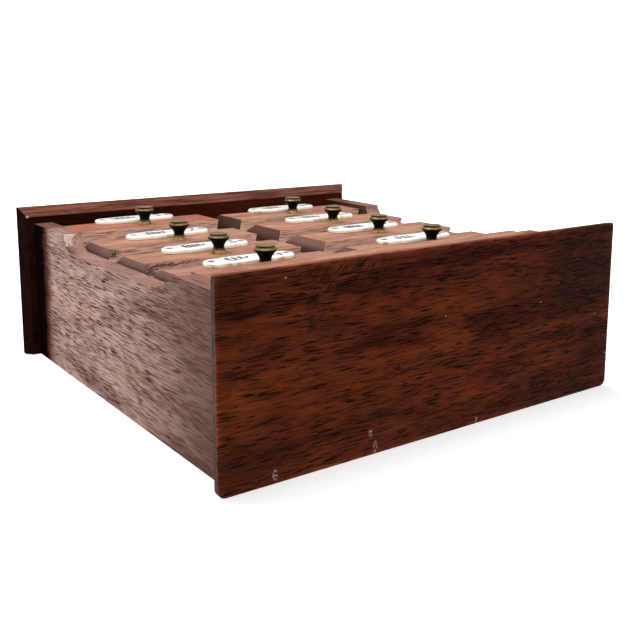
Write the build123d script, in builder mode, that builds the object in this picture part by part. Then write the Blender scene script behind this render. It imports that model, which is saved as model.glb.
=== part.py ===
"""Tabletop spice cabinet with two columns of small drawers between overhanging boards."""
import os
from math import sqrt

from build123d import *

os.makedirs("parts", exist_ok=True)

# cabinet envelope
width = 290.0
depth = 108.0
height = 293.0
y_back = depth / 2
y_front = -depth / 2

# boards
base_thick = 3.2
board_back_radius = 4.5
board_front_radius = 1.5
cornice_thick = 9.5
cornice_edge = 4.5
cornice_bevel_front = 6.5
cornice_bevel_end = 4.5
z_under_cornice = height - cornice_thick
end_overhang = 9.5
front_overhang = 11.5

# sides with a cut-out along the front edge
side_outer_x = width / 2 - end_overhang
side_thick = 13.0
side_depth = depth - front_overhang
cut_depth = 11.5
cut_low_z = 60.0
cut_low_radius = 72.0
cut_head_height = 57.0
cut_high_z = z_under_cornice - cut_head_height
cut_high_radius = 16.0

# inside of the case
back_panel_thick = 4.0
divider_thick = 18.0
divider_x = -3.0
rail_thick = 16.0
shelf_thick = 4.2
shelf_setback = 7.5

# drawer rows, from the lowest row up to the cornice
rows = 4
lowest_arris_z = 68.5
row_gap = 6.5
cornice_gap = 1.5
row_pitch = (z_under_cornice - cornice_gap + row_gap - lowest_arris_z) / rows

# drawer front
face_setback = 6.5
closed_face_depth = side_depth - face_setback
front_thick = 11.0
front_height = row_pitch - row_gap
top_bevel_rise = 14.5
front_face_height = front_height - top_bevel_rise
top_bevel_in = 6.6
undercut_in = 6.5
undercut_rise = 2.2
front_side_clearance = 1.0

# drawer box
drawer_rear_gap = 1.0
drawer_length = closed_face_depth - back_panel_thick - drawer_rear_gap
drawer_wall = 4.0
drawer_floor = 2.5
drawer_seat_clearance = 0.3
drawer_headroom = 8.5
drawer_box_height = row_pitch - shelf_thick - drawer_seat_clearance - drawer_headroom

# brass knob
knob_above_arris = 12.0
knob_height = 12.4
knob_head_radius = 6.8
knob_neck_radius = 3.5
knob_foot_radius = 4.7
knob_foot_thick = 1.3
knob_shank_radius = 1.5
knob_shank_length = 8.0
knob_hole_clearance = 0.1

# enamelled label and its two pins
label_above_arris = 29.5
label_length = 61.0
label_middle_length = 40.0
label_height = 18.0
label_ear_height = 15.5
label_corner_round = 6.5
label_thick = 2.8
label_edge_round = 1.5
label_pin_spacing = 52.0
label_hole_radius = 1.3
pin_head_radius = 1.1
pin_head_thick = 0.7
pin_shank_radius = 0.6
pin_length = 7.0

# stand-out of each drawer at rest, top drawer first
left_stand_out = (5.4, 1.6, 0.5, 0.8)
right_stand_out = (3.5, 2.3, 1.7, 1.4)

# knobs and labels of the right column are fitted a little off centre
right_fitting_shift = -2.0

side_inner_x = side_outer_x - side_thick
y_side_front = y_back - side_depth
y_panel_front = y_back - back_panel_thick
y_shelf_front = y_back - closed_face_depth + shelf_setback


def save(builder, name):
    builder.part.label = name
    export_step(builder.part, f"parts/{name}.step")


def arris_z(row):
    return lowest_arris_z + row_pitch * row


def bay_span(hand):
    """Left and right limits of the open bay on one side of the divider."""
    if hand < 0:
        return (-side_inner_x, divider_x - divider_thick / 2)
    return (divider_x + divider_thick / 2, side_inner_x)


def shelf_top_z(row):
    return arris_z(row) + undercut_rise - drawer_seat_clearance


# base board, flush with the back and proud of the sides
with BuildPart() as bottom_board:
    with BuildSketch(Plane.XY):
        Rectangle(width, depth)
    extrude(amount=base_thick)
    uprights = bottom_board.edges().filter_by(Axis.Z)
    fillet(uprights.group_by(Axis.Y)[-1], radius=board_back_radius)
    uprights = bottom_board.edges().filter_by(Axis.Z)
    fillet(uprights.group_by(Axis.Y)[0], radius=board_front_radius)
save(bottom_board, "bottom_board")

# cornice board, bevelled underneath on the front and both ends
bevel_width = width - 2 * cornice_bevel_end
bevel_depth = depth - cornice_bevel_front
with BuildPart() as top_board:
    with BuildSketch(Plane.XY.offset(z_under_cornice)):
        with Locations((0, cornice_bevel_front / 2)):
            Rectangle(bevel_width, bevel_depth)
    with BuildSketch(Plane.XY.offset(height - cornice_edge)):
        Rectangle(width, depth)
    loft(ruled=True)
    with BuildSketch(Plane.XY.offset(height - cornice_edge)):
        Rectangle(width, depth)
    extrude(amount=cornice_edge)
save(top_board, "top_board")

# sides: a long sweep at the foot and a tight cove at the head of the cut-out
y_cut = y_side_front + cut_depth
low_run = sqrt(cut_low_radius**2 - (cut_low_radius - cut_depth) ** 2)
high_run = sqrt(cut_high_radius**2 - (cut_high_radius - cut_depth) ** 2)
z_low_flat = cut_low_z + low_run
z_high_flat = cut_high_z - high_run


def cove_point(z_flat, radius, z):
    return (y_cut - radius + sqrt(radius**2 - (z - z_flat) ** 2), z)


for side_name, inner_face_x in (("side_left", -side_outer_x), ("side_right", side_inner_x)):
    with BuildPart() as side:
        with BuildSketch(Plane.YZ.offset(inner_face_x)):
            with BuildLine():
                Line((y_back, base_thick), (y_side_front, base_thick))
                Line((y_side_front, base_thick), (y_side_front, cut_low_z))
                ThreePointArc(
                    (y_side_front, cut_low_z),
                    cove_point(z_low_flat, cut_low_radius, (cut_low_z + z_low_flat) / 2),
                    (y_cut, z_low_flat),
                )
                Line((y_cut, z_low_flat), (y_cut, z_high_flat))
                ThreePointArc(
                    (y_cut, z_high_flat),
                    cove_point(z_high_flat, cut_high_radius, (cut_high_z + z_high_flat) / 2),
                    (y_side_front, cut_high_z),
                )
                Line((y_side_front, cut_high_z), (y_side_front, z_under_cornice))
                Line((y_side_front, z_under_cornice), (y_back, z_under_cornice))
                Line((y_back, z_under_cornice), (y_back, base_thick))
            make_face()
        extrude(amount=side_thick)
    save(side, side_name)

# back panel between the sides
case_height = z_under_cornice - base_thick
with BuildPart() as back_panel:
    with BuildSketch(Plane.XY.offset(base_thick)):
        with Locations((0, y_back - back_panel_thick / 2)):
            Rectangle(2 * side_inner_x, back_panel_thick)
    extrude(amount=case_height)
save(back_panel, "back_panel")

# plinth rail that closes the foot of the case
y_rail_back = y_side_front + rail_thick
rail_top_z = shelf_top_z(0) - shelf_thick
with BuildPart() as bottom_rail:
    with BuildSketch(Plane.XY.offset(base_thick)):
        with Locations((0, (y_side_front + y_rail_back) / 2)):
            Rectangle(2 * side_inner_x, rail_thick)
    extrude(amount=rail_top_z - base_thick)
save(bottom_rail, "bottom_rail")

# centre divider, set back behind the rail
divider_run = y_panel_front - y_rail_back
with BuildPart() as centre_divider:
    with BuildSketch(Plane.XY.offset(base_thick)):
        with Locations((divider_x, (y_rail_back + y_panel_front) / 2)):
            Rectangle(divider_thick, divider_run)
    extrude(amount=case_height)
save(centre_divider, "centre_divider")

# one shelf under every drawer
shelf_run = y_panel_front - y_rail_back
for shelf_name, hand in (("shelves_left", -1), ("shelves_right", 1)):
    bay_left, bay_right = bay_span(hand)
    with BuildPart() as shelves:
        for row in range(rows):
            with BuildSketch(Plane.XY.offset(shelf_top_z(row) - shelf_thick)):
                with Locations(((bay_left + bay_right) / 2, (y_rail_back + y_panel_front) / 2)):
                    Rectangle(bay_right - bay_left, shelf_run)
            extrude(amount=shelf_thick)
    save(shelves, shelf_name)


def build_drawer(number, hand, row, stand_out):
    """Make the six pieces of one drawer, with its face standing out from the closed position."""
    face_y = y_back - closed_face_depth - stand_out
    foot_z = arris_z(row)
    bay_left, bay_right = bay_span(hand)
    left_x = bay_left + front_side_clearance
    drawer_width = bay_right - bay_left - 2 * front_side_clearance
    centre_x = (bay_left + bay_right) / 2
    fitting_x = centre_x + (right_fitting_shift if hand > 0 else 0.0)
    knob_z = foot_z + knob_above_arris
    label_z = foot_z + label_above_arris
    block_back_y = face_y + front_thick
    end_y = face_y + drawer_length
    floor_z = foot_z + undercut_rise
    pin_x = (fitting_x - label_pin_spacing / 2, fitting_x + label_pin_spacing / 2)
    pin_y = face_y - label_thick + pin_head_thick

    with BuildPart() as front:
        with BuildSketch(Plane.YZ.offset(left_x)):
            with BuildLine():
                Polyline(
                    (face_y, foot_z),
                    (face_y, foot_z + front_face_height),
                    (face_y + top_bevel_in, foot_z + front_height),
                    (block_back_y, foot_z + front_height),
                    (block_back_y, floor_z),
                    (face_y + undercut_in, floor_z),
                    close=True,
                )
            make_face()
        extrude(amount=drawer_width)
        with BuildSketch(Plane.XZ.offset(-face_y)):
            with Locations((fitting_x, knob_z)):
                Circle(knob_shank_radius + knob_hole_clearance)
        extrude(amount=-knob_shank_length, mode=Mode.SUBTRACT)
        with BuildSketch(Plane.XZ.offset(-face_y)):
            with Locations((pin_x[0], label_z), (pin_x[1], label_z)):
                Circle(pin_shank_radius)
        extrude(amount=-(pin_length - label_thick), mode=Mode.SUBTRACT)
    save(front, f"drawer_{number}_front")

    box_run = end_y - block_back_y
    with BuildPart() as floor:
        with BuildSketch(Plane.XY.offset(floor_z)):
            with Locations((centre_x, (block_back_y + end_y) / 2)):
                Rectangle(drawer_width, box_run)
        extrude(amount=drawer_floor)
    save(floor, f"drawer_{number}_bottom")

    side_run = box_run - drawer_wall
    side_shift = (drawer_width - drawer_wall) / 2
    with BuildPart() as walls:
        with BuildSketch(Plane.XY.offset(floor_z + drawer_floor)):
            side_y = (block_back_y + end_y - drawer_wall) / 2
            with Locations((centre_x - side_shift, side_y), (centre_x + side_shift, side_y)):
                Rectangle(drawer_wall, side_run)
        extrude(amount=drawer_box_height - drawer_floor)
    with BuildPart() as rear:
        with BuildSketch(Plane.XY.offset(floor_z + drawer_floor)):
            with Locations((centre_x, end_y - drawer_wall / 2)):
                Rectangle(drawer_width, drawer_wall)
        extrude(amount=drawer_box_height - drawer_floor)
    box = Compound(children=[*walls.part.solids(), *rear.part.solids()])
    box.label = f"drawer_{number}_walls"
    export_step(box, f"parts/drawer_{number}_walls.step")

    turning_plane = Plane(origin=(fitting_x, face_y, knob_z), x_dir=(1, 0, 0), z_dir=(0, 0, -1))
    with BuildPart() as knob:
        with BuildSketch(turning_plane):
            with BuildLine():
                Polyline(
                    (0, -knob_shank_length),
                    (knob_shank_radius, -knob_shank_length),
                    (knob_shank_radius, 0),
                    (knob_foot_radius, 0),
                    (knob_foot_radius, knob_foot_thick),
                    (knob_neck_radius + 0.7, knob_foot_thick + 0.7),
                )
                Spline(
                    (knob_neck_radius + 0.7, knob_foot_thick + 0.7),
                    (knob_neck_radius, knob_height * 0.36),
                    (knob_neck_radius + 1.0, knob_height * 0.54),
                    (knob_head_radius - 0.5, knob_height * 0.71),
                )
                Spline(
                    (knob_head_radius - 0.5, knob_height * 0.71),
                    (knob_head_radius, knob_height * 0.79),
                    (knob_head_radius * 0.80, knob_height * 0.93),
                    (0, knob_height),
                    tangents=[(0.6, 1), (-1, 0)],
                )
                Line((0, knob_height), (0, -knob_shank_length))
            make_face()
        revolve(axis=Axis((fitting_x, face_y, knob_z), (0, -1, 0)))
    save(knob, f"drawer_{number}_knob")

    with BuildPart() as label:
        with BuildSketch(Plane.XZ.offset(-face_y)):
            with Locations((fitting_x, label_z)):
                SlotOverall(label_length, label_ear_height)
                RectangleRounded(label_middle_length, label_height, label_corner_round)
        extrude(amount=label_thick)
        top_edges = label.faces().sort_by(Axis.Y)[0].edges()
        fillet(top_edges, radius=label_edge_round)
        with BuildSketch(Plane.XZ.offset(-face_y)):
            with Locations((pin_x[0], label_z), (pin_x[1], label_z)):
                Circle(label_hole_radius)
        extrude(amount=label_thick, mode=Mode.SUBTRACT)
    save(label, f"drawer_{number}_label")

    with BuildPart() as pins:
        with BuildSketch(Plane.XZ.offset(-pin_y)):
            with Locations((pin_x[0], label_z), (pin_x[1], label_z)):
                Circle(pin_head_radius)
        extrude(amount=pin_head_thick)
        with BuildSketch(Plane.XZ.offset(-pin_y)):
            with Locations((pin_x[0], label_z), (pin_x[1], label_z)):
                Circle(pin_shank_radius)
        extrude(amount=-(pin_length - pin_head_thick))
    save(pins, f"drawer_{number}_pins")


for index in range(rows):
    build_drawer(index + 1, -1, rows - 1 - index, left_stand_out[index])
    build_drawer(index + 1 + rows, 1, rows - 1 - index, right_stand_out[index])
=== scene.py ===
import bpy, bmesh, math
from mathutils import Matrix, Vector


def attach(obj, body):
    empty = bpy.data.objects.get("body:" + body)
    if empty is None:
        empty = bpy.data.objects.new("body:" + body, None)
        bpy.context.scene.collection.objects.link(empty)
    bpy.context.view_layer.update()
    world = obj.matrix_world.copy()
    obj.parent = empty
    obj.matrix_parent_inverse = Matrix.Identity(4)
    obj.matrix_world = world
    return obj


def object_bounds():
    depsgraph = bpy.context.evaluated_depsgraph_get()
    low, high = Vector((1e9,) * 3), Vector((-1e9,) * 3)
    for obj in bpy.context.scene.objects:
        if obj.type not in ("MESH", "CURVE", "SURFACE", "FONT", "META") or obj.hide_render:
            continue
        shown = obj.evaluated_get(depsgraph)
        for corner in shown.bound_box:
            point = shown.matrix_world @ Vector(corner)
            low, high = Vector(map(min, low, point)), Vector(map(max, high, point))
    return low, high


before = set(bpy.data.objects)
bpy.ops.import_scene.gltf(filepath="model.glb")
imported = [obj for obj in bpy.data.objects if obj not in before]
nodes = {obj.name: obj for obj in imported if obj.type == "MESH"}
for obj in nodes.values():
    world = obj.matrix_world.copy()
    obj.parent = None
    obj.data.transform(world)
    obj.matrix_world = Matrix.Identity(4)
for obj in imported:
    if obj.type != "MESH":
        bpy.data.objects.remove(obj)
cadBounds = [list(corner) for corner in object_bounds()]
print("cabinet: frame loaded,", len(nodes), "wooden, brass and porcelain parts")


def nodeBox(name):
    obj = nodes[name]
    corners = [obj.matrix_world @ Vector(corner) for corner in obj.bound_box]
    return [Vector([pick(corner[axis] for corner in corners) for axis in range(3)]) for pick in (min, max)]


def newMaterial(name):
    mat = bpy.data.materials.new(name)
    mat.use_nodes = True
    tree = mat.node_tree
    tree.nodes.clear()
    return mat, tree


def addNode(tree, kind, **values):
    node = tree.nodes.new(kind)
    for key, value in values.items():
        setattr(node, key, value)
    return node


def setInput(tree, node, name, value):
    if hasattr(value, "is_linked"):
        tree.links.new(value, node.inputs[name])
    else:
        node.inputs[name].default_value = value


def rgba(colour):
    return (*colour, 1.0)


def objectPoint(tree):
    return addNode(tree, "ShaderNodeTexCoord").outputs["Object"]


def boxPoint(tree):
    return addNode(tree, "ShaderNodeTexCoord").outputs["Generated"]


def faceNormal(tree):
    return addNode(tree, "ShaderNodeNewGeometry").outputs["True Normal"]


def stretched(tree, vector, scale, shift=(0, 0, 0), turn=(0, 0, 0)):
    node = addNode(tree, "ShaderNodeMapping")
    setInput(tree, node, "Vector", vector)
    node.inputs["Scale"].default_value = scale
    node.inputs["Location"].default_value = shift
    node.inputs["Rotation"].default_value = turn
    return node.outputs[0]


def cloud(tree, vector, size, detail=4.0, rough=0.55, twist=0.0):
    node = addNode(tree, "ShaderNodeTexNoise")
    setInput(tree, node, "Vector", vector)
    node.inputs["Scale"].default_value = size
    node.inputs["Detail"].default_value = detail
    node.inputs["Roughness"].default_value = rough
    node.inputs["Distortion"].default_value = twist
    return node.outputs["Fac"]


def ramp(tree, value, stops):
    node = addNode(tree, "ShaderNodeValToRGB")
    setInput(tree, node, "Fac", value)
    bar = node.color_ramp.elements
    while len(bar) < len(stops):
        bar.new(0.5)
    for element, (place, colour) in zip(bar, stops):
        element.position = place
        element.color = rgba(colour)
    return node.outputs["Color"]


def mask(tree, value, low, high):
    node = addNode(tree, "ShaderNodeMapRange", interpolation_type="SMOOTHSTEP")
    setInput(tree, node, "Value", value)
    node.inputs["From Min"].default_value = low
    node.inputs["From Max"].default_value = high
    return node.outputs[0]


def sums(tree, kind, first, second=0.0):
    node = addNode(tree, "ShaderNodeMath", operation=kind)
    setInput(tree, node, 0, first)
    setInput(tree, node, 1, second)
    return node.outputs[0]


def times(tree, first, *others):
    for other in others:
        first = sums(tree, "MULTIPLY", first, other)
    return first


def blendColour(tree, factor, first, second, kind="MIX"):
    node = addNode(tree, "ShaderNodeMix", data_type="RGBA", blend_type=kind)
    setInput(tree, node, 0, factor)
    setInput(tree, node, 6, rgba(first) if isinstance(first, tuple) else first)
    setInput(tree, node, 7, rgba(second) if isinstance(second, tuple) else second)
    return node.outputs[2]


def axisPart(tree, vector, axis):
    node = addNode(tree, "ShaderNodeSeparateXYZ")
    setInput(tree, node, 0, vector)
    return node.outputs["XYZ".index(axis)]


def towards(tree, axis, sign, low=0.5, high=0.8):
    part = axisPart(tree, faceNormal(tree), axis)
    return mask(tree, times(tree, part, sign), low, high)


def spotMask(tree, point, centre, reach, soft=0.3):
    # ellipsoid round a centre; reach gives its three half sizes
    moved = addNode(tree, "ShaderNodeVectorMath", operation="SUBTRACT")
    setInput(tree, moved, 0, point)
    moved.inputs[1].default_value = centre
    shrunk = addNode(tree, "ShaderNodeVectorMath", operation="DIVIDE")
    setInput(tree, shrunk, 0, moved.outputs[0])
    shrunk.inputs[1].default_value = reach
    far = addNode(tree, "ShaderNodeVectorMath", operation="LENGTH")
    setInput(tree, far, 0, shrunk.outputs[0])
    return mask(tree, far.outputs["Value"], 1.0 + soft, 1.0 - soft)


def anyOf(tree, masks):
    joined = masks[0]
    for other in masks[1:]:
        joined = sums(tree, "MAXIMUM", joined, other)
    return joined


def bump(tree, height, strength, distance):
    node = addNode(tree, "ShaderNodeBump")
    setInput(tree, node, "Height", height)
    node.inputs["Strength"].default_value = strength
    node.inputs["Distance"].default_value = distance
    return node.outputs[0]


def finishSurface(tree, mat, colour, rough, normal, **fixed):
    shader = addNode(tree, "ShaderNodeBsdfPrincipled")
    setInput(tree, shader, "Base Color", colour)
    setInput(tree, shader, "Roughness", rough)
    setInput(tree, shader, "Normal", normal)
    for key, value in fixed.items():
        setInput(tree, shader, key, value)
    out = addNode(tree, "ShaderNodeOutputMaterial")
    tree.links.new(shader.outputs[0], out.inputs[0])
    return mat


def dress(name, mat):
    obj = nodes[name]
    obj.data.materials.clear()
    obj.data.materials.append(mat)


# worn roundness of each board's arrises, in metres
arrisLook = {"base": 0.0006, "cornice": 0.0004, "side": 0.0008, "front": 0.0005}


def softenEdges(name, board):
    bevel = nodes[name].modifiers.new("softArris", "BEVEL")
    bevel.width = arrisLook[board]
    bevel.segments = 2
    bevel.limit_method = "ANGLE"
    bevel.angle_limit = math.radians(35)


def alongGrain(look, across, share):
    scale = [across] * 3
    scale["XYZ".index(look["grain"])] = across * share
    return scale


# how every oak board is figured: run is the stretch along the grain, band the two ends of a soft edge
oakFigure = {
    "stainRun": 0.6, "figureRun": 0.14, "fibreRun": 0.045,
    "deepAt": 0.30, "bodyAt": 0.45, "lightAt": 0.58, "bodyAgain": 0.74,
    "patchBand": (0.46, 0.72), "grimeAndShadowBand": (0.50, 0.28), "streakBand": (0.40, 0.64), "endBand": (0.5, 0.9),
    "poreSoft": 0.04, "poreRough": 0.2, "fibreHeight": 0.5, "bumpDepth": 0.0003,
}


def oldOak(name, look, wear=None):
    mat, tree = newMaterial(name)
    point = objectPoint(tree)
    shift, cut = look["shift"], oakFigure
    stain, figure, fibre, pore = [
        cloud(tree, stretched(tree, point, alongGrain(look, look[kind], run), shift), 1.0, *grit)
        for kind, run, grit in (
            ("stain", cut["stainRun"], (3.0, 0.6, 0.4)), ("figure", cut["figureRun"], (5.0, 0.62, 0.8)),
            ("fibres", cut["fibreRun"], (5.0, 0.7)), ("pores", look["poreShare"], (0.6, 0.4)))]
    colour = ramp(tree, figure, [
        (cut["deepAt"], look["deep"]), (cut["bodyAt"], look["body"]),
        (cut["lightAt"], look["light"]), (cut["bodyAgain"], look["body"])])
    colour = blendColour(tree, times(tree, mask(tree, stain, *cut["patchBand"]), look["patchy"]), colour, look["patch"])
    colour = blendColour(tree, times(tree, mask(tree, stain, *cut["grimeAndShadowBand"]), look["grime"]), colour, look["dirt"])
    colour = blendColour(tree, times(tree, mask(tree, fibre, *cut["streakBand"]), look["streaks"]), colour, look["streak"])
    # pores crowd together where the figure is dark
    figureLight = sums(tree, "SUBTRACT", figure, 0.5)
    crowded = sums(tree, "SUBTRACT", pore, times(tree, figureLight, look["crowding"]))
    poreMask = mask(tree, crowded, look["poreFrom"], look["poreFrom"] + cut["poreSoft"])
    colour = blendColour(tree, times(tree, poreMask, look["poreDepth"]), colour, look["pore"])
    # cut ends take the stain differently from the long grain
    endGrain = mask(tree, sums(tree, "ABSOLUTE", axisPart(tree, faceNormal(tree), look["grain"])), *cut["endBand"])
    colour = blendColour(tree, times(tree, endGrain, look["endDark"]), colour, look["end"])
    height = sums(tree, "SUBTRACT", times(tree, fibre, cut["fibreHeight"]), poreMask)
    if wear:
        colour, height = wear(tree, point, colour, height, look)
    rough = sums(tree, "ADD", look["rough"], times(tree, poreMask, cut["poreRough"]))
    normal = bump(tree, height, look["relief"], cut["bumpDepth"])
    return finishSurface(tree, mat, colour, rough, normal, **{"Specular IOR Level": look["shine"]})


# side panels: pinkish oak with upright grain and short dark pores
sideOak = {
    "grain": "Z", "fibres": 1100.0, "figure": 70.0, "stain": 22.0, "shift": (3.1, 1.7, 0.4),
    "pores": 1700.0, "poreShare": 0.050, "poreFrom": 0.565, "poreDepth": 0.9, "crowding": 0.25,
    "deep": (0.28, 0.160, 0.132), "body": (0.435, 0.280, 0.235), "light": (0.58, 0.405, 0.350),
    "patch": (0.49, 0.285, 0.215), "patchy": 0.45, "dirt": (0.185, 0.098, 0.080), "grime": 0.6,
    "streak": (0.21, 0.112, 0.092), "streaks": 0.6, "pore": (0.050, 0.020, 0.016),
    "end": (0.30, 0.17, 0.13), "endDark": 0.3, "rough": 0.6, "relief": 0.7, "shine": 0.0,
    "headBlack": (0.004, 0.002, 0.002), "headRed": (0.085, 0.016, 0.009), "headReach": 0.030,
    "redShare": 0.9, "redBand": (1.0, 0.40), "blackBand": (0.6, 0.2), "frontShare": 0.75,
    "headRagged": 60.0, "raggedShare": 0.5,
    "footTone": (0.11, 0.055, 0.045), "footReach": 0.16, "footDark": 0.85,
    "innerTone": (0.05, 0.018, 0.012), "innerShare": 0.85,
    "edgeTone": (0.27, 0.145, 0.108), "edgeShare": 0.7,
    "rawTone": (0.50, 0.25, 0.19), "rawFleck": 420.0, "rawBand": (0.40, 0.52),
    "rawPlace": (-0.1300, -0.0405, 0.2180), "rawReach": (0.0085, 0.0065, 0.0085),
    "crackTone": (0.03, 0.012, 0.01), "crackDepth": 2.0,
    "crackPlace": (-0.1310, -0.0425, 0.0400), "crackReach": (0.0004, 0.0020, 0.0085),
}


def sideWear(tree, point, colour, height, look):
    across, upward = axisPart(tree, point, "X"), axisPart(tree, point, "Z")
    outward, frontward = towards(tree, "X", -1.0), towards(tree, "Y", -1.0)
    top, reach = nodeBox("side_left")[1].z, look["headReach"]
    # painted shade: darker towards the foot; front edge plainer
    foot = times(tree, mask(tree, upward, look["footReach"], 0.0), look["footDark"])
    colour = blendColour(tree, foot, colour, look["footTone"])
    colour = blendColour(tree, times(tree, frontward, look["edgeShare"]), colour, look["edgeTone"])
    # painted shadow of the cornice: black just under it, with a dark red fringe at its soft edge
    ragged = times(tree, cloud(tree, point, look["headRagged"], 3.0), reach * look["raggedShare"])
    level = sums(tree, "ADD", upward, ragged)
    red = mask(tree, level, *[top - reach * share for share in look["redBand"]])
    black = mask(tree, level, *[top - reach * share for share in look["blackBand"]])
    shaded = anyOf(tree, [outward, times(tree, frontward, look["frontShare"])])
    colour = blendColour(tree, times(tree, red, shaded, look["redShare"]), colour, look["headRed"])
    colour = blendColour(tree, times(tree, black, outward), colour, look["headBlack"])
    # the right panel's inner face also looks to -X, and is dark
    inside = times(tree, outward, mask(tree, across, 0.0, 0.01))
    colour = blendColour(tree, times(tree, inside, look["innerShare"]), colour, look["innerTone"])
    # raw pinkish wood round the corner knocked off above the left cut-out
    flecks = mask(tree, cloud(tree, point, look["rawFleck"], 3.0, 0.7), *look["rawBand"])
    raw = times(tree, spotMask(tree, point, look["rawPlace"], look["rawReach"], 0.5), flecks)
    colour = blendColour(tree, raw, colour, look["rawTone"])
    crack = spotMask(tree, point, look["crackPlace"], look["crackReach"], 0.3)
    colour = blendColour(tree, crack, colour, look["crackTone"])
    return colour, sums(tree, "SUBTRACT", height, times(tree, crack, look["crackDepth"]))


# base board: dark red-brown stain worn to orange; each mark is a centre and three half sizes
baseOak = {
    "grain": "X", "fibres": 900.0, "figure": 62.0, "stain": 15.0, "shift": (0.2, 2.9, 5.3),
    "pores": 1500.0, "poreShare": 0.065, "poreFrom": 0.585, "poreDepth": 0.92, "crowding": 0.3,
    "deep": (0.085, 0.013, 0.007), "body": (0.20, 0.042, 0.019), "light": (0.36, 0.092, 0.036),
    "patch": (0.48, 0.135, 0.040), "patchy": 0.65, "dirt": (0.055, 0.011, 0.007), "grime": 0.75,
    "streak": (0.085, 0.016, 0.010), "streaks": 0.5, "pore": (0.012, 0.002, 0.001),
    "end": (0.035, 0.032, 0.030), "endDark": 0.9, "rough": 0.52, "relief": 0.8, "shine": 0.07,
    "glowTone": (0.46, 0.115, 0.030), "glowShare": 0.6, "glowGrain": (45.0, 160.0, 50.0), "glowBand": (0.42, 0.62),
    "glows": [
        ((-0.080, 0.020, 0), (0.030, 0.011, 0.01)), ((-0.123, 0.004, 0), (0.022, 0.009, 0.01)),
        ((-0.130, -0.021, 0), (0.016, 0.009, 0.01)), ((-0.035, 0.006, 0), (0.024, 0.009, 0.01)),
        ((0.008, -0.021, 0), (0.022, 0.007, 0.01)), ((-0.044, -0.026, 0), (0.020, 0.007, 0.01)),
        ((0.020, 0.039, 0), (0.020, 0.008, 0.01)),
    ],
    "soilTone": (0.050, 0.010, 0.006), "soilShare": 0.6,
    "soils": [
        ((-0.136, 0.041, 0), (0.034, 0.012, 0.01)), ((0.128, 0.028, 0), (0.022, 0.012, 0.01)),
        ((0.121, -0.061, 0), (0.026, 0.012, 0.01)), ((-0.137, -0.050, 0), (0.014, 0.010, 0.01)),
    ],
    "sawTone": (0.014, 0.004, 0.003), "sawTurn": (0, 0, -0.79), "sawDepth": 0.85,
    "sawLines": (1700.0, 90.0, 50.0), "sawBand": (0.50, 0.60), "sawGroove": 1.5,
    "sawPlaces": [
        ((-0.089, -0.033, 0), (0.007, 0.014, 0.01)), ((-0.070, -0.046, 0), (0.032, 0.009, 0.01)),
        ((0.116, -0.024, 0), (0.026, 0.030, 0.01)), ((0.092, 0.044, 0), (0.030, 0.010, 0.01)),
    ],
    "speckTone": (0.75, 0.70, 0.64),
    "specks": [
        ((-0.1062, -0.0486, 0), (0.0005, 0.0005, 0.001)), ((0.0781, -0.0110, 0), (0.0007, 0.0005, 0.001)),
        ((-0.0004, -0.0141, 0), (0.0005, 0.0005, 0.001)), ((0.1310, 0.0040, 0), (0.0005, 0.0005, 0.001)),
    ],
    "scuffTone": (0.80, 0.72, 0.66), "scuffShare": 0.95, "scuffGrit": 750.0, "scuffBand": (0.49, 0.53),
    "scuffs": [
        ((-0.1130, 0.0495, 0), (0.0014, 0.0030, 0.003)), ((-0.0530, 0.0415, 0), (0.0012, 0.0022, 0.003)),
        ((-0.0499, 0.0500, 0), (0.0014, 0.0030, 0.003)), ((0.0259, 0.0515, 0), (0.0010, 0.0020, 0.003)),
        ((0.1440, 0.0320, 0.001), (0.0014, 0.0008, 0.003)),
    ],
}


def marks(tree, point, places, soft):
    return anyOf(tree, [spotMask(tree, point, place, reach, soft) for place, reach in places])


def baseWear(tree, point, colour, height, look):
    # worn orange glows and soiled corners
    broken = mask(tree, cloud(tree, stretched(tree, point, look["glowGrain"]), 1.0, 4.0, 0.6), *look["glowBand"])
    glow = times(tree, marks(tree, point, look["glows"], 0.9), broken, look["glowShare"])
    colour = blendColour(tree, glow, colour, look["glowTone"], "LIGHTEN")
    soil = times(tree, marks(tree, point, look["soils"], 0.9), look["soilShare"])
    colour = blendColour(tree, soil, colour, look["soilTone"])
    # slanting saw marks: turned first, then drawn out into lines
    turned = stretched(tree, point, (1, 1, 1), turn=look["sawTurn"])
    lines = mask(tree, cloud(tree, stretched(tree, turned, look["sawLines"]), 1.0, 2.0, 0.5), *look["sawBand"])
    saw = times(tree, marks(tree, point, look["sawPlaces"], 0.4), lines, look["sawDepth"])
    colour = blendColour(tree, saw, colour, look["sawTone"])
    # pale scuffs and specks
    grit = mask(tree, cloud(tree, point, look["scuffGrit"], 2.0, 0.6), *look["scuffBand"])
    scuff = times(tree, marks(tree, point, look["scuffs"], 0.5), grit, look["scuffShare"])
    colour = blendColour(tree, scuff, colour, look["scuffTone"])
    colour = blendColour(tree, marks(tree, point, look["specks"], 0.35), colour, look["speckTone"])
    return colour, sums(tree, "SUBTRACT", height, times(tree, saw, look["sawGroove"]))


# cornice: lighter brown on the front bevel, black with old stain at the left end, dark stain below with painted shadow
# towards the left
corniceOak = dict(
    baseOak, shift=(4.4, 1.3, 0.7), end=(0.020, 0.009, 0.008), shine=0.0, rough=0.75,
    bandTone=(0.21, 0.088, 0.060), bandDeep=(0.070, 0.024, 0.018), bandShare=0.9, bandGrain=(28.0, 700.0, 700.0),
    belowLeft=(0.003, 0.001, 0.001), belowRight=(0.045, 0.009, 0.004), belowShare=0.95, belowRun=(-0.12, 0.06),
    endTone=(0.006, 0.003, 0.0025), endShare=0.92,
    lineTone=(0.06, 0.05, 0.048), lineShare=0.8, lineDepth=(0.0011, 0.0004),
    chipTone=(0.50, 0.44, 0.39), chipGrit=1100.0,
    chips=[((-0.1405, -0.0478, 0.2835), (0.0015, 0.0008, 0.0009)), ((0.1405, -0.0478, 0.2835), (0.0010, 0.0008, 0.0009))],
)


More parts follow.
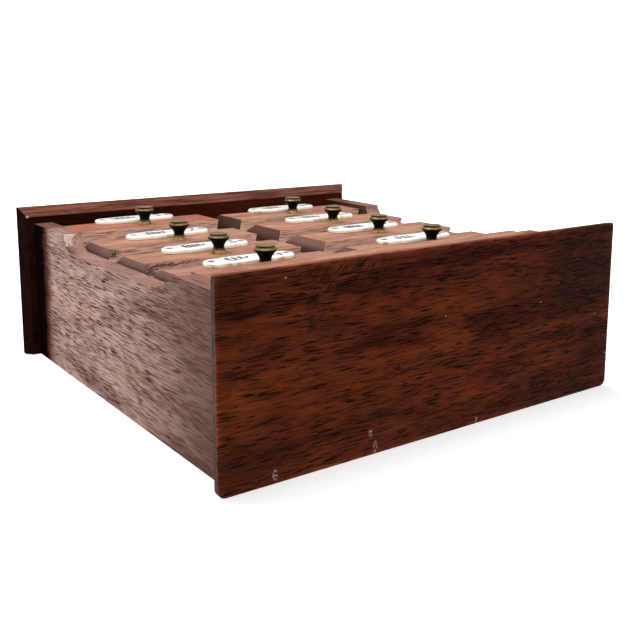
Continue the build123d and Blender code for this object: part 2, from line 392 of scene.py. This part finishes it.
def corniceWear(tree, point, colour, height, look):
    across, upward = axisPart(tree, point, "X"), axisPart(tree, point, "Z")
    grain = cloud(tree, stretched(tree, point, look["bandGrain"]), 1.0, 4.0, 0.65)
    band = blendColour(tree, mask(tree, grain, 0.40, 0.62), look["bandTone"], look["bandDeep"])
    bevelled = times(tree, towards(tree, "Y", -1.0, 0.35, 0.5), look["bandShare"])
    colour = blendColour(tree, bevelled, colour, band)
    # painted shadow: the stained underside turns black towards the left end
    below = blendColour(tree, mask(tree, across, *look["belowRun"]), look["belowLeft"], look["belowRight"])
    underneath = times(tree, towards(tree, "Z", -1.0, 0.90, 0.97), look["belowShare"])
    colour = blendColour(tree, underneath, colour, below)
    leftEnd = times(tree, towards(tree, "X", -1.0, 0.4, 0.6), look["endShare"])
    colour = blendColour(tree, leftEnd, colour, look["endTone"])
    # thin dark line along the top front arris
    top = cadBounds[1][2]
    topLine = mask(tree, upward, *[top - depth for depth in look["lineDepth"]])
    topLine = times(tree, topLine, towards(tree, "Y", -1.0, 0.2, 0.4), look["lineShare"])
    colour = blendColour(tree, topLine, colour, look["lineTone"])
    grit = mask(tree, cloud(tree, point, look["chipGrit"], 3.0, 0.7), 0.40, 0.56)
    chipped = times(tree, marks(tree, point, look["chips"], 0.4), grit)
    return blendColour(tree, chipped, colour, look["chipTone"]), height


# drawer fronts: orange-brown, grain across, paler on the undercut and darker at the cut ends
frontOak = {
    "grain": "X", "fibres": 900.0, "figure": 90.0, "stain": 26.0, "shift": (7.3, 0.6, 2.2),
    "pores": 1400.0, "poreShare": 0.060, "poreFrom": 0.62, "poreDepth": 0.6, "crowding": 0.2,
    "deep": (0.24, 0.090, 0.055), "body": (0.40, 0.176, 0.100), "light": (0.52, 0.265, 0.165),
    "patch": (0.44, 0.155, 0.088), "patchy": 0.5, "dirt": (0.18, 0.078, 0.057), "grime": 0.55,
    "streak": (0.22, 0.092, 0.064), "streaks": 0.65, "pore": (0.07, 0.027, 0.020),
    "end": (0.21, 0.125, 0.108), "endDark": 0.9, "rough": 0.5, "relief": 0.5, "shine": 0.13,
    "deepEnd": (0.035, 0.014, 0.011), "deepShare": 0.8, "deepBand": (-0.0345, -0.0285),
    "belowTone": (0.92, 0.66, 0.55), "belowPale": 0.95, "belowGrain": (70.0, 1000.0, 1000.0), "belowBand": (0.30, 0.56),
    "rubTone": (0.66, 0.44, 0.36), "rubShare": 0.8, "rubSize": 260.0, "rubBand": (0.42, 0.6),
    "tearTone": (0.07, 0.03, 0.022), "tearShare": 0.9, "tearGrain": (350.0, 900.0, 900.0), "tearBand": (0.44, 0.54),
    "tearDepth": 3.0, "tears": [],
}
# where a drawer's front differs from the rest
frontShades = {
    1: {"body": (0.37, 0.110, 0.053), "light": (0.43, 0.15, 0.080), "deep": (0.23, 0.058, 0.028)},
    2: {"tears": [((-0.1190, -0.0345, 0.1790), (0.0045, 0.0040, 0.0022))]},
    3: {"tears": [
        ((-0.1050, -0.0365, 0.1240), (0.0180, 0.0030, 0.0024)),
        ((-0.1185, -0.0340, 0.1240), (0.0050, 0.0060, 0.0030)),
    ]},
    4: {"body": (0.38, 0.185, 0.130), "light": (0.48, 0.26, 0.195)},
    5: {"end": (0.11, 0.060, 0.052), "body": (0.36, 0.150, 0.092)},
    6: {"end": (0.17, 0.095, 0.080)},
    7: {"end": (0.34, 0.20, 0.165)},
    8: {"body": (0.38, 0.168, 0.113), "end": (0.30, 0.18, 0.15)},
}


def frontWear(tree, point, colour, height, look):
    # ends sink into shade towards the case
    sunk = mask(tree, axisPart(tree, point, "Y"), *look["deepBand"])
    ends = sums(tree, "MAXIMUM", towards(tree, "X", -1.0), towards(tree, "X", 1.0))
    colour = blendColour(tree, times(tree, sunk, ends, look["deepShare"]), colour, look["deepEnd"])
    # pale streaky undercut
    lines = cloud(tree, stretched(tree, point, look["belowGrain"]), 1.0, 3.0, 0.6)
    below = times(tree, towards(tree, "Z", -1.0, 0.6, 0.9), mask(tree, lines, *look["belowBand"]), look["belowPale"])
    colour = blendColour(tree, below, colour, look["belowTone"])
    # arrises rubbed pale where an end meets the face
    normal = faceNormal(tree)
    corner = sums(tree, "ABSOLUTE", times(tree, axisPart(tree, normal, "X"), axisPart(tree, normal, "Y")))
    worn = mask(tree, cloud(tree, point, look["rubSize"]), *look["rubBand"])
    rubbed = times(tree, mask(tree, corner, 0.15, 0.35), worn, look["rubShare"])
    colour = blendColour(tree, rubbed, colour, look["rubTone"])
    if look["tears"]:
        ragged = mask(tree, cloud(tree, stretched(tree, point, look["tearGrain"]), 1.0, 4.0, 0.75), *look["tearBand"])
        torn = times(tree, marks(tree, point, look["tears"], 0.4), ragged)
        colour = blendColour(tree, times(tree, torn, look["tearShare"]), colour, look["tearTone"])
        height = sums(tree, "SUBTRACT", height, times(tree, torn, look["tearDepth"]))
    return colour, height


# hidden boards: bare aged softwood
innerWood = dict(
    frontOak, deep=(0.20, 0.12, 0.07), body=(0.30, 0.19, 0.11), light=(0.38, 0.25, 0.15),
    patch=(0.36, 0.22, 0.12), end=(0.16, 0.10, 0.06), endDark=0.5, rough=0.7, shift=(1.0, 4.0, 2.0),
)

sideMat = oldOak("sideOak", sideOak, sideWear)
innerMat = oldOak("innerWood", innerWood)
innerUprightMat = oldOak("innerUpright", dict(innerWood, grain="Z"))
dress("bottom_board", oldOak("baseOak", baseOak, baseWear))
dress("top_board", oldOak("corniceOak", corniceOak, corniceWear))
dress("bottom_rail", oldOak("railOak", dict(frontOak, shift=(2.2, 8.1, 3.3)), frontWear))
softenEdges("bottom_board", "base")
softenEdges("top_board", "cornice")
for name in ("side_left", "side_right"):
    dress(name, sideMat)
    softenEdges(name, "side")
dress("back_panel", innerUprightMat)
dress("centre_divider", innerUprightMat)
dress("shelves_left", innerMat)
dress("shelves_right", innerMat)
print("cabinet: boards stained")

# turned brass knobs: olive head, neck and underside painted near black as shade and dark reflection, foot rubbed bright
brassLook = {
    "bright": (0.30, 0.20, 0.09), "dull": (0.085, 0.052, 0.023), "dark": (0.004, 0.003, 0.002),
    "lightFacingBand": (-0.15, -0.75), "spots": 420.0, "spotBand": (0.35, 0.5),
    "foot": (0.60, 0.40, 0.14), "footFrom": 0.545, "footSoft": 0.02,
    "rough": 0.34, "spotRough": 0.2, "metal": 0.95, "shine": 0.06,
}


def agedBrass(look):
    mat, tree = newMaterial("agedBrass")
    spots = cloud(tree, objectPoint(tree), look["spots"], 4.0, 0.65)
    head = ramp(tree, spots, [(0.32, look["dull"]), (0.66, look["bright"])])
    # brass shows where the turned form faces forwards; elsewhere it is painted near black as shade and dark reflection
    turned = addNode(tree, "ShaderNodeNewGeometry").outputs["Normal"]
    lightFacing = mask(tree, axisPart(tree, turned, "Y"), *look["lightFacingBand"])
    colour = blendColour(tree, lightFacing, look["dark"], head)
    foot = mask(tree, axisPart(tree, boxPoint(tree), "Y"), look["footFrom"] - look["footSoft"], look["footFrom"])
    colour = blendColour(tree, times(tree, foot, mask(tree, spots, *look["spotBand"])), colour, look["foot"])
    rough = sums(tree, "ADD", look["rough"], times(tree, spots, look["spotRough"]))
    metal = times(tree, sums(tree, "MAXIMUM", lightFacing, foot), look["metal"])
    normal = bump(tree, spots, 0.15, 0.0002)
    return finishSurface(tree, mat, colour, rough, normal, Metallic=metal, **{"Specular IOR Level": look["shine"]})


# glazed plaques: white, cream and grubby towards the edge, dirty round the nails, painted shadow along the foot
glazeLook = {
    "white": (0.93, 0.93, 0.91), "cream": (0.93, 0.88, 0.68), "creamShare": 0.75,
    "stain": (0.50, 0.33, 0.10), "stainShare": 0.8, "stainBand": (0.55, 0.68), "patches": 95.0,
    "grime": (0.09, 0.045, 0.03), "grimeAndShadowBand": (0.86, 0.96), "rimBand": (-0.75, -0.15),
    "holeTone": (0.030, 0.016, 0.010), "holeShare": 0.95, "holeReach": (0.046, 1.0, 0.125),
    "holes": [(0.074, 0.5, 0.5), (0.926, 0.5, 0.5)],
    "rough": 0.2, "shine": 0.4,
}


def oldGlaze(look):
    mat, tree = newMaterial("oldGlaze")
    share = boxPoint(tree)
    rim = mask(tree, axisPart(tree, faceNormal(tree), "Y"), *look["rimBand"])
    patches = cloud(tree, objectPoint(tree), look["patches"], 3.0, 0.6)
    colour = blendColour(tree, times(tree, rim, look["creamShare"]), look["white"], look["cream"])
    stained = times(tree, rim, mask(tree, patches, *look["stainBand"]), look["stainShare"])
    colour = blendColour(tree, stained, colour, look["stain"])
    # painted contact shadow: a dark band along the plaque's foot, where it meets the drawer front
    colour = blendColour(tree, mask(tree, axisPart(tree, share, "Y"), *look["grimeAndShadowBand"]), colour, look["grime"])
    dirty = anyOf(tree, [spotMask(tree, share, place, look["holeReach"], 0.3) for place in look["holes"]])
    colour = blendColour(tree, times(tree, dirty, look["holeShare"]), colour, look["holeTone"])
    normal = bump(tree, patches, 0.08, 0.0006)
    return finishSurface(tree, mat, colour, look["rough"], normal, **{"Specular IOR Level": look["shine"]})


ironLook = {"dark": (0.02, 0.017, 0.015), "rubbed": (0.08, 0.06, 0.045), "spots": 900.0, "rough": 0.6, "metal": 0.6}


def darkIron(look):
    mat, tree = newMaterial("darkIron")
    spots = cloud(tree, objectPoint(tree), look["spots"], 3.0, 0.6)
    colour = ramp(tree, spots, [(0.3, look["dark"]), (0.7, look["rubbed"])])
    return finishSurface(tree, mat, colour, look["rough"], bump(tree, spots, 0.3, 0.0002), Metallic=look["metal"])


inkLook = {"black": (0.004, 0.004, 0.005), "thin": (0.030, 0.027, 0.026), "spots": 1800.0, "rough": 0.45}


def blackInk(look):
    mat, tree = newMaterial("blackInk")
    spots = cloud(tree, objectPoint(tree), look["spots"], 2.0, 0.5)
    colour = ramp(tree, spots, [(0.35, look["black"]), (0.75, look["thin"])])
    return finishSurface(tree, mat, colour, look["rough"], bump(tree, spots, 0.2, 0.0001))


brassMat, glazeMat = agedBrass(brassLook), oldGlaze(glazeLook)
ironMat, inkMat = darkIron(ironLook), blackInk(inkLook)
for number in range(1, 9):
    look = dict(frontOak, shift=(7.3 + number * 1.7, 0.6 + number * 0.9, 2.2 + number), **frontShades.get(number, {}))
    dress(f"drawer_{number}_front", oldOak(f"frontOak{number}", look, frontWear))
    softenEdges(f"drawer_{number}_front", "front")
    dress(f"drawer_{number}_bottom", innerMat)
    dress(f"drawer_{number}_walls", innerMat)
    dress(f"drawer_{number}_knob", brassMat)
    dress(f"drawer_{number}_label", glazeMat)
    dress(f"drawer_{number}_pins", ironMat)
print("cabinet: drawers dressed")


def addPiece(name, vertices, faces, mat, body):
    mesh = bpy.data.meshes.new(name)
    mesh.from_pydata(vertices, [], faces)
    form = bmesh.new()
    form.from_mesh(mesh)
    bmesh.ops.recalc_face_normals(form, faces=form.faces)
    form.to_mesh(mesh)
    form.free()
    obj = bpy.data.objects.new(name, mesh)
    bpy.context.scene.collection.objects.link(obj)
    mesh.materials.append(mat)
    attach(obj, body)


# split corner of the left side: pale broken wood, right in line with the photograph's eye point only
# its points stand 2 to 12 mm off the side in front of the cut-out and still have to be moved onto it
# front points are across and up, outer points are depth and up
splitLook = {
    "front": [(-0.1317, 0.2215), (-0.1287, 0.2185)],
    "outer": [(-0.0371, 0.2079), (-0.0351, 0.2193), (-0.0385, 0.2217), (-0.0418, 0.2223)],
    "arris": (0.2223, 0.2094), "proud": 0.0003, "sunk": 0.0009,
    "pale": (0.50, 0.36, 0.31), "pink": (0.36, 0.18, 0.14), "deep": (0.12, 0.040, 0.028),
    "fibre": (420.0, 420.0, 150.0), "fibreTurn": (0, 0.5, 0), "rough": 0.7,
}


def splitWood(look):
    mat, tree = newMaterial("splitWood")
    fibre = cloud(tree, stretched(tree, objectPoint(tree), look["fibre"], turn=look["fibreTurn"]), 1.0, 3.0, 0.6)
    colour = ramp(tree, fibre, [(0.38, look["deep"]), (0.43, look["pink"]), (0.52, look["pale"])])
    return finishSurface(tree, mat, colour, look["rough"], bump(tree, fibre, 0.6, 0.0003))


def splitCorner(look):
    corner = nodeBox("side_left")[0]
    proud, sunk = look["proud"], look["sunk"]
    top, bottom = look["arris"]
    vertices, faces = [], []
    for out in (-proud, sunk):
        vertices += [(corner.x + out, corner.y + out, top)]
        vertices += [(x, corner.y + out, z) for x, z in look["front"]]
        vertices += [(corner.x + out, corner.y + out, bottom)]
        vertices += [(corner.x + out, y, z) for y, z in look["outer"]]
    count = len(vertices) // 2
    foot = len(look["front"]) + 1
    for start in (0, count):
        faces.append(tuple(range(start, start + foot + 1)))
        faces.append((start, *range(start + foot, start + count)))
    for index in range(count):
        after = (index + 1) % count
        faces.append((index, after, count + after, count + index))
    addPiece("splitCorner", vertices, faces, splitWood(look), "case")


splitCorner(splitLook)
print("cabinet: split corner laid")

# figures painted on the plaques: points on a cell 1 wide and 1.6 high
figures = {
    1: [[(0.20, 1.20), (0.55, 1.60), (0.50, 0.80), (0.45, 0.00)]],
    2: [[(0.05, 1.20), (0.35, 1.60), (0.80, 1.35), (0.55, 0.75), (0.05, 0.08), (0.45, 0.12), (0.95, 0.00)]],
    3: [[(0.10, 1.40), (0.50, 1.60), (0.80, 1.25), (0.40, 0.85), (0.85, 0.50), (0.50, 0.00), (0.05, 0.20)]],
    4: [[(0.60, 1.60), (0.30, 1.05), (0.05, 0.55), (0.50, 0.55), (0.95, 0.55)], [(0.72, 1.00), (0.66, 0.50), (0.60, 0.00)]],
    5: [[(0.85, 1.58), (0.25, 1.55), (0.15, 0.90), (0.60, 1.00), (0.85, 0.50), (0.50, 0.02), (0.05, 0.15)]],
    6: [[(0.75, 1.55), (0.25, 1.00), (0.10, 0.40), (0.45, 0.00), (0.85, 0.35), (0.50, 0.75), (0.15, 0.45)]],
    7: [[(0.05, 1.50), (0.50, 1.58), (0.95, 1.50), (0.55, 0.70), (0.35, 0.00)]],
    8: [[(0.75, 1.30), (0.45, 1.60), (0.15, 1.25), (0.50, 0.85), (0.85, 0.40),
         (0.45, 0.00), (0.10, 0.40), (0.50, 0.85), (0.78, 1.30)]],
}
penLook = {
    "thin": 0.00065, "thick": 0.00190, "nibTurn": 0.6, "taper": 0.35, "proud": 0.00005, "sunk": 0.00012,
    "figurePlace": (0.0150, -0.0058), "figureSize": 0.0072,
    "curlTurns": 3.4, "curlExtra": 0.37, "curlSteps": 18,
    "curlFrom": -0.0165, "curlRun": 0.0150, "curlLoop": 0.0013, "curlHeight": 0.0046,
    "curlShrink": 0.4, "curlSway": 0.0008,
}


def smoothLine(points, steps=7):
    ends = [points[0], *points, points[-1]]
    line = []
    for before, start, stop, after in zip(ends, ends[1:], ends[2:], ends[3:]):
        for step in range(steps):
            t = step / steps
            line.append(tuple(
                0.5 * (2 * b + (c - a) * t + (2 * a - 5 * b + 4 * c - d) * t * t + (3 * b - a - 3 * c + d) * t ** 3)
                for a, b, c, d in zip(before, start, stop, after)))
    return line + [points[-1]]


def penStroke(line, origin, look):
    # closed flat ribbon on the plaque, broad across the nib and thin along it
    vertices, faces = [], []
    for index, spot in enumerate(line):
        here, there = line[max(index - 1, 0)], line[min(index + 1, len(line) - 1)]
        heading = math.atan2(there[1] - here[1], there[0] - here[0])
        taper = min(1.0, look["taper"] + look["taper"] * min(index, len(line) - 1 - index))
        press = abs(math.sin(heading - look["nibTurn"]))
        half = 0.5 * taper * (look["thin"] + (look["thick"] - look["thin"]) * press)
        side = (-math.sin(heading) * half, math.cos(heading) * half)
        for sign in (-1, 1):
            for lift in (-look["proud"], look["sunk"]):
                vertices.append((
                    origin.x + spot[0] + sign * side[0], origin.y + lift, origin.z + spot[1] + sign * side[1]))
    for index in range(len(line) - 1):
        a, b = index * 4, index * 4 + 4
        faces += [(a, a + 2, b + 2, b), (a + 1, b + 1, b + 3, a + 3), (a, b, b + 1, a + 1), (a + 2, a + 3, b + 3, b + 2)]
    last = (len(line) - 1) * 4
    faces += [(0, 1, 3, 2), (last, last + 2, last + 3, last + 1)]
    return vertices, faces


def penCurls(number, look):
    # a row of open pen loops, a few more on some plaques than on others
    turns = look["curlTurns"] + look["curlExtra"] * (number % 4)
    steps = turns * look["curlSteps"]
    line = []
    for step in range(int(steps) + 1):
        t = step / steps
        angle = 2 * math.pi * turns * t + number
        sway = look["curlSway"] * math.sin(5 * t + number)
        line.append((look["curlFrom"] + look["curlRun"] * t - look["curlLoop"] * math.sin(angle),
                     look["curlHeight"] * (1 - look["curlShrink"] * t) * math.cos(angle) + sway))
    return line


def paintPlaque(number, look):
    low, high = nodeBox(f"drawer_{number}_label")
    origin = Vector(((low.x + high.x) / 2, low.y, (low.z + high.z) / 2))
    left, foot = look["figurePlace"]
    size = look["figureSize"]
    strokes = [[(left + x * size, foot + y * size) for x, y in smoothLine(points)] for points in figures[number]]
    strokes.append(penCurls(number, look))
    vertices, faces = [], []
    for line in strokes:
        newVertices, newFaces = penStroke(line, origin, look)
        faces += [tuple(corner + len(vertices) for corner in face) for face in newFaces]
        vertices += newVertices
    addPiece(f"penMarks_{number}", vertices, faces, inkMat, f"drawer_{number}")


for number in range(1, 9):
    paintPlaque(number, penLook)
print("cabinet: plaques numbered")

# stage: a pale sheet behind the lying cabinet and one under its base
stageLook = {
    "size": 8.0, "white": 0.80, "gap": 0.0006,
    "glowNear": 0.66, "glowFar": 1.0, "near": 0.25, "far": 0.9,
}


def paperMaterial(look):
    mat, tree = newMaterial("palePaper")
    paper = addNode(tree, "ShaderNodeBsdfDiffuse")
    paper.inputs["Color"].default_value = rgba((look["white"],) * 3)
    glow = addNode(tree, "ShaderNodeEmission")
    glow.inputs["Color"].default_value = (1, 1, 1, 1)
    path = addNode(tree, "ShaderNodeLightPath")
    seen = anyOf(tree, [path.outputs[name] for name in ("Is Camera Ray", "Is Glossy Ray", "Is Transmission Ray")])
    away = addNode(tree, "ShaderNodeVectorMath", operation="LENGTH")
    setInput(tree, away, 0, objectPoint(tree))
    farShare = mask(tree, away.outputs["Value"], look["near"], look["far"])
    strength = sums(tree, "ADD", times(tree, farShare, look["glowFar"] - look["glowNear"]), look["glowNear"])
    setInput(tree, glow, "Strength", times(tree, seen, strength))
    both = addNode(tree, "ShaderNodeAddShader")
    tree.links.new(paper.outputs[0], both.inputs[0])
    tree.links.new(glow.outputs[0], both.inputs[1])
    # the back of each sheet is clear, so that it never hides the cabinet
    clear = addNode(tree, "ShaderNodeBsdfTransparent")
    pick = addNode(tree, "ShaderNodeMixShader")
    setInput(tree, pick, 0, addNode(tree, "ShaderNodeNewGeometry").outputs["Backfacing"])
    tree.links.new(both.outputs[0], pick.inputs[1])
    tree.links.new(clear.outputs[0], pick.inputs[2])
    out = addNode(tree, "ShaderNodeOutputMaterial")
    tree.links.new(pick.outputs[0], out.inputs[0])
    return mat


def paperSheet(name, centre, normal, look, mat):
    mesh = bpy.data.meshes.new(name)
    form = bmesh.new()
    bmesh.ops.create_grid(form, x_segments=4, y_segments=4, size=look["size"] / 2)
    form.to_mesh(mesh)
    form.free()
    obj = bpy.data.objects.new(name, mesh)
    bpy.context.scene.collection.objects.link(obj)
    obj.rotation_euler = Vector(normal).to_track_quat("Z", "Y").to_euler()
    obj.location = centre
    obj.data.materials.append(mat)
    obj.visible_shadow = False  # lamps behind a sheet still reach the cabinet


low, high = Vector(cadBounds[0]), Vector(cadBounds[1])
paperMat = paperMaterial(stageLook)
paperSheet("paleTable", (0, high.y + stageLook["gap"], 0), (0, -1, 0), stageLook, paperMat)
paperSheet("paleFloor", (0, 0, low.z - stageLook["gap"]), (0, 0, 1), stageLook, paperMat)

# soft lamps: power in watts, all aimed at the middle of the case
lampAim = (0, 0, 0.15)
lampLook = {
    "overhead": {"place": (-0.15, -1.50, 0.55), "size": 1.1, "power": 24.0},
    "leftHigh": {"place": (-0.95, -0.35, 1.05), "size": 0.5, "power": 5.0},
    "lowFill": {"place": (-0.35, -0.75, -1.40), "size": 1.2, "power": 7.2},
    "rearFill": {"place": (0.35, 1.35, 0.75), "size": 1.1, "power": 11.0},
}


def addLamp(name, look, aim):
    lamp = bpy.data.lights.new(name, "AREA")
    lamp.energy = look["power"]
    lamp.size = look["size"]
    obj = bpy.data.objects.new(name, lamp)
    bpy.context.scene.collection.objects.link(obj)
    obj.location = look["place"]
    obj.rotation_euler = (Vector(look["place"]) - Vector(aim)).to_track_quat("Z", "Y").to_euler()


for lampName, look in lampLook.items():
    addLamp(lampName, look, lampAim)


# seen is the white behind the object, shiny the share of it that glossy surfaces get, lit what lights the object
worldLook = {"seen": 1.0, "shiny": 0.55, "lit": 0.14}


def paintWorld(look):
    world = bpy.data.worlds.new("studio")
    world.use_nodes = True
    tree = world.node_tree
    tree.nodes.clear()
    path = addNode(tree, "ShaderNodeLightPath")
    shiny = times(tree, path.outputs["Is Glossy Ray"], look["shiny"])
    rays = anyOf(tree, [path.outputs["Is Camera Ray"], path.outputs["Is Transmission Ray"], shiny])
    level = addNode(tree, "ShaderNodeMix", data_type="FLOAT")
    setInput(tree, level, 0, rays)
    level.inputs[2].default_value = look["lit"]
    level.inputs[3].default_value = look["seen"]
    back = addNode(tree, "ShaderNodeBackground")
    back.inputs["Color"].default_value = (1, 1, 1, 1)
    setInput(tree, back, "Strength", level.outputs[0])
    out = addNode(tree, "ShaderNodeOutputWorld")
    tree.links.new(back.outputs[0], out.inputs[0])
    bpy.context.scene.world = world


paintWorld(worldLook)

cameraLook = {
    "place": (-0.3316, -0.1358, -0.3429),
    "right": (0.813330, -0.002039, -0.581799),
    "down": (-0.094751, 0.986179, -0.135915),
    "focalPixels": 878.0, "imagePixels": 640, "centreRow": 240.0, "filmWidth": 36.0,
}


def placeCamera(look):
    data = bpy.data.cameras.new("photoCamera")
    data.sensor_fit = "HORIZONTAL"
    data.sensor_width = look["filmWidth"]
    data.lens = look["focalPixels"] / look["imagePixels"] * look["filmWidth"]
    data.shift_y = (look["centreRow"] - look["imagePixels"] / 2) / look["imagePixels"]
    data.clip_start = 0.01
    data.clip_end = 50.0
    right = Vector(look["right"]).normalized()
    down = Vector(look["down"])
    down = (down - right * down.dot(right)).normalized()
    ahead = right.cross(down)
    turn = Matrix((right, -down, -ahead)).transposed().to_4x4()
    obj = bpy.data.objects.new("photoCamera", data)
    obj.matrix_world = Matrix.Translation(look["place"]) @ turn
    bpy.context.scene.collection.objects.link(obj)
    bpy.context.scene.camera = obj


placeCamera(cameraLook)
bpy.context.scene.view_settings.view_transform = "Standard"
print("cabinet: lit and framed")
